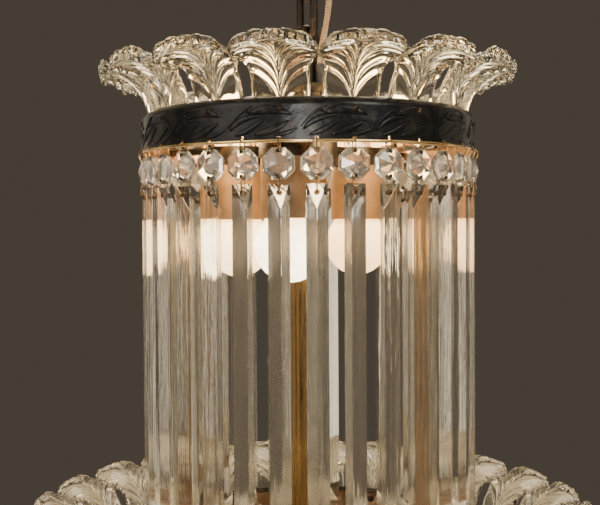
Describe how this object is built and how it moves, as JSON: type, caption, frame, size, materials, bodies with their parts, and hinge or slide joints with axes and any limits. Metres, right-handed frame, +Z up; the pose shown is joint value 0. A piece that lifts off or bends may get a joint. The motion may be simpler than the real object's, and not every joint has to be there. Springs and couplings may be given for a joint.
{
  "type": "two-tier prism chandelier",
  "caption": "Hanging two-tier chandelier with pressed-glass plumes in metal bands, octagon beads and long three-sided glass prisms.",
  "frame": {"origin": "middle of the ceiling face, where the canopy's rim and the mounting bar meet the ceiling", "axes": "+Z up into the ceiling along the hanging axis, -Y towards the front, +X to the right seen from the front"},
  "size_m": [0.4236, 0.4236, 0.7224],
  "materials": {
    "crystal": "clear, slightly warm pressed and cut glass",
    "band_bronze": "near-black patinated bronze, satin",
    "bronze": "dark bronze, satin",
    "polished_gold": "polished",
    "wire_brass": "aged",
    "stem_brass": "lacquered, softly polished",
    "steel": "zinc plated",
    "sleeve_gold": "amber lacquered card",
    "porcelain": "glazed",
    "lamp_glass": "frosted, lit",
    "flex": "clear-coated twin flex",
    "black_plastic": "moulded"
  },
  "bodies": {
    "ceiling_fitting": {"ceiling_canopy": "bronze", "mounting_bar": "steel", "canopy_loop": "bronze"},
    "first_link": {"chain_link_1": "bronze"},
    "fixture": {"chain_links": "bronze", "supply_cord": "flex", "cord_bushing": "black_plastic", "top_loop": "bronze", "pipe_cap": "bronze", "lamp_pipe": "steel", "upper_spider": "bronze", "upper_band": "band_bronze", "upper_lip": "polished_gold", "plumes": "crystal", "plume_screws": "wire_brass", "bead_hooks": "wire_brass", "octagon_beads": "crystal", "prism_clips": "wire_brass", "lamp_sockets": "porcelain", "socket_sleeves": "sleeve_gold", "lamp_bulbs": "lamp_glass", "stem_tube": "stem_brass", "lower_spider": "bronze", "lower_band": "band_bronze", "lower_lip": "polished_gold", "lower_prisms": "crystal", "bottom_cap": "stem_brass", "finial": "crystal"},
    "prism_01_body": {"prism_01": "crystal"},
    "prism_02_body": {"prism_02": "crystal"},
    "prism_03_body": {"prism_03": "crystal"},
    "prism_04_body": {"prism_04": "crystal"},
    "prism_05_body": {"prism_05": "crystal"},
    "prism_06_body": {"prism_06": "crystal"},
    "prism_07_body": {"prism_07": "crystal"},
    "prism_08_body": {"prism_08": "crystal"},
    "prism_09_body": {"prism_09": "crystal"},
    "prism_10_body": {"prism_10": "crystal"},
    "prism_11_body": {"prism_11": "crystal"},
    "prism_12_body": {"prism_12": "crystal"},
    "prism_13_body": {"prism_13": "crystal"},
    "prism_14_body": {"prism_14": "crystal"},
    "prism_15_body": {"prism_15": "crystal"},
    "prism_16_body": {"prism_16": "crystal"},
    "prism_17_body": {"prism_17": "crystal"},
    "prism_18_body": {"prism_18": "crystal"},
    "prism_19_body": {"prism_19": "crystal"},
    "prism_20_body": {"prism_20": "crystal"},
    "prism_21_body": {"prism_21": "crystal"},
    "prism_22_body": {"prism_22": "crystal"},
    "prism_23_body": {"prism_23": "crystal"},
    "prism_24_body": {"prism_24": "crystal"},
    "prism_25_body": {"prism_25": "crystal"},
    "prism_26_body": {"prism_26": "crystal"},
    "prism_27_body": {"prism_27": "crystal"},
    "prism_28_body": {"prism_28": "crystal"},
    "prism_29_body": {"prism_29": "crystal"},
    "prism_30_body": {"prism_30": "crystal"},
    "prism_31_body": {"prism_31": "crystal"},
    "prism_32_body": {"prism_32": "crystal"}
  },
  "joints": [
    {"name": "link_swing", "type": "hinge", "parent": "ceiling_fitting", "child": "first_link", "pos_m": [0, 0, -0.055], "axis": [0.7071, 0.7071, 0], "range_deg": [-15, 15], "deforming": ["supply_cord"]},
    {"name": "fixture_swing", "type": "hinge", "parent": "first_link", "child": "fixture", "pos_m": [0, 0, -0.0841], "axis": [0.7071, -0.7071, 0], "range_deg": [-15, 15], "deforming": ["supply_cord"]},
    {"name": "prism_01_swing", "type": "hinge", "parent": "fixture", "child": "prism_01_body", "pos_m": [0.00528, -0.11624, -0.2597], "axis": [-0.999, -0.0454, 0], "range_deg": [-5, 5]},
    {"name": "prism_02_swing", "type": "hinge", "parent": "fixture", "child": "prism_02_body", "pos_m": [0.02785, -0.11298, -0.2597], "axis": [-0.9709, -0.2394, 0], "range_deg": [-5, 5]},
    {"name": "prism_03_swing", "type": "hinge", "parent": "fixture", "child": "prism_03_body", "pos_m": [0.04936, -0.10537, -0.2597], "axis": [-0.9056, -0.4242, 0], "range_deg": [-5, 5]},
    {"name": "prism_04_swing", "type": "hinge", "parent": "fixture", "child": "prism_04_body", "pos_m": [0.06897, -0.09372, -0.2597], "axis": [-0.8054, -0.5927, 0], "range_deg": [-5, 5]},
    {"name": "prism_05_swing", "type": "hinge", "parent": "fixture", "child": "prism_05_body", "pos_m": [0.08593, -0.07846, -0.2597], "axis": [-0.6743, -0.7385, 0], "range_deg": [-5, 5]},
    {"name": "prism_06_swing", "type": "hinge", "parent": "fixture", "child": "prism_06_body", "pos_m": [0.09958, -0.06019, -0.2597], "axis": [-0.5173, -0.8558, 0], "range_deg": [-5, 5]},
    {"name": "prism_07_swing", "type": "hinge", "parent": "fixture", "child": "prism_07_body", "pos_m": [0.10941, -0.03961, -0.2597], "axis": [-0.3404, -0.9403, 0], "range_deg": [-5, 5]},
    {"name": "prism_08_swing", "type": "hinge", "parent": "fixture", "child": "prism_08_body", "pos_m": [0.11503, -0.0175, -0.2597], "axis": [-0.1504, -0.9886, 0], "range_deg": [-5, 5]},
    {"name": "prism_09_swing", "type": "hinge", "parent": "fixture", "child": "prism_09_body", "pos_m": [0.11624, 0.00528, -0.2597], "axis": [0.0454, -0.999, 0], "range_deg": [-5, 5]},
    {"name": "prism_10_swing", "type": "hinge", "parent": "fixture", "child": "prism_10_body", "pos_m": [0.11298, 0.02785, -0.2597], "axis": [0.2394, -0.9709, 0], "range_deg": [-5, 5]},
    {"name": "prism_11_swing", "type": "hinge", "parent": "fixture", "child": "prism_11_body", "pos_m": [0.10537, 0.04936, -0.2597], "axis": [0.4242, -0.9056, 0], "range_deg": [-5, 5]},
    {"name": "prism_12_swing", "type": "hinge", "parent": "fixture", "child": "prism_12_body", "pos_m": [0.09372, 0.06897, -0.2597], "axis": [0.5927, -0.8054, 0], "range_deg": [-5, 5]},
    {"name": "prism_13_swing", "type": "hinge", "parent": "fixture", "child": "prism_13_body", "pos_m": [0.07846, 0.08593, -0.2597], "axis": [0.7385, -0.6743, 0], "range_deg": [-5, 5]},
    {"name": "prism_14_swing", "type": "hinge", "parent": "fixture", "child": "prism_14_body", "pos_m": [0.06019, 0.09958, -0.2597], "axis": [0.8558, -0.5173, 0], "range_deg": [-5, 5]},
    {"name": "prism_15_swing", "type": "hinge", "parent": "fixture", "child": "prism_15_body", "pos_m": [0.03961, 0.10941, -0.2597], "axis": [0.9403, -0.3404, 0], "range_deg": [-5, 5]},
    {"name": "prism_16_swing", "type": "hinge", "parent": "fixture", "child": "prism_16_body", "pos_m": [0.0175, 0.11503, -0.2597], "axis": [0.9886, -0.1504, 0], "range_deg": [-5, 5]},
    {"name": "prism_17_swing", "type": "hinge", "parent": "fixture", "child": "prism_17_body", "pos_m": [-0.00528, 0.11624, -0.2597], "axis": [0.999, 0.0454, 0], "range_deg": [-5, 5]},
    {"name": "prism_18_swing", "type": "hinge", "parent": "fixture", "child": "prism_18_body", "pos_m": [-0.02785, 0.11298, -0.2597], "axis": [0.9709, 0.2394, 0], "range_deg": [-5, 5]},
    {"name": "prism_19_swing", "type": "hinge", "parent": "fixture", "child": "prism_19_body", "pos_m": [-0.04936, 0.10537, -0.2597], "axis": [0.9056, 0.4242, 0], "range_deg": [-5, 5]},
    {"name": "prism_20_swing", "type": "hinge", "parent": "fixture", "child": "prism_20_body", "pos_m": [-0.06897, 0.09372, -0.2597], "axis": [0.8054, 0.5927, 0], "range_deg": [-5, 5]},
    {"name": "prism_21_swing", "type": "hinge", "parent": "fixture", "child": "prism_21_body", "pos_m": [-0.08593, 0.07846, -0.2597], "axis": [0.6743, 0.7385, 0], "range_deg": [-5, 5]},
    {"name": "prism_22_swing", "type": "hinge", "parent": "fixture", "child": "prism_22_body", "pos_m": [-0.09958, 0.06019, -0.2597], "axis": [0.5173, 0.8558, 0], "range_deg": [-5, 5]},
    {"name": "prism_23_swing", "type": "hinge", "parent": "fixture", "child": "prism_23_body", "pos_m": [-0.10941, 0.03961, -0.2597], "axis": [0.3404, 0.9403, 0], "range_deg": [-5, 5]},
    {"name": "prism_24_swing", "type": "hinge", "parent": "fixture", "child": "prism_24_body", "pos_m": [-0.11503, 0.0175, -0.2597], "axis": [0.1504, 0.9886, 0], "range_deg": [-5, 5]},
    {"name": "prism_25_swing", "type": "hinge", "parent": "fixture", "child": "prism_25_body", "pos_m": [-0.11624, -0.00528, -0.2597], "axis": [-0.0454, 0.999, 0], "range_deg": [-5, 5]},
    {"name": "prism_26_swing", "type": "hinge", "parent": "fixture", "child": "prism_26_body", "pos_m": [-0.11298, -0.02785, -0.2597], "axis": [-0.2394, 0.9709, 0], "range_deg": [-5, 5]},
    {"name": "prism_27_swing", "type": "hinge", "parent": "fixture", "child": "prism_27_body", "pos_m": [-0.10537, -0.04936, -0.2597], "axis": [-0.4242, 0.9056, 0], "range_deg": [-5, 5]},
    {"name": "prism_28_swing", "type": "hinge", "parent": "fixture", "child": "prism_28_body", "pos_m": [-0.09372, -0.06897, -0.2597], "axis": [-0.5927, 0.8054, 0], "range_deg": [-5, 5]},
    {"name": "prism_29_swing", "type": "hinge", "parent": "fixture", "child": "prism_29_body", "pos_m": [-0.07846, -0.08593, -0.2597], "axis": [-0.7385, 0.6743, 0], "range_deg": [-5, 5]},
    {"name": "prism_30_swing", "type": "hinge", "parent": "fixture", "child": "prism_30_body", "pos_m": [-0.06019, -0.09958, -0.2597], "axis": [-0.8558, 0.5173, 0], "range_deg": [-5, 5]},
    {"name": "prism_31_swing", "type": "hinge", "parent": "fixture", "child": "prism_31_body", "pos_m": [-0.03961, -0.10941, -0.2597], "axis": [-0.9403, 0.3404, 0], "range_deg": [-5, 5]},
    {"name": "prism_32_swing", "type": "hinge", "parent": "fixture", "child": "prism_32_body", "pos_m": [-0.0175, -0.11503, -0.2597], "axis": [-0.9886, 0.1504, 0], "range_deg": [-5, 5]}
  ]
}
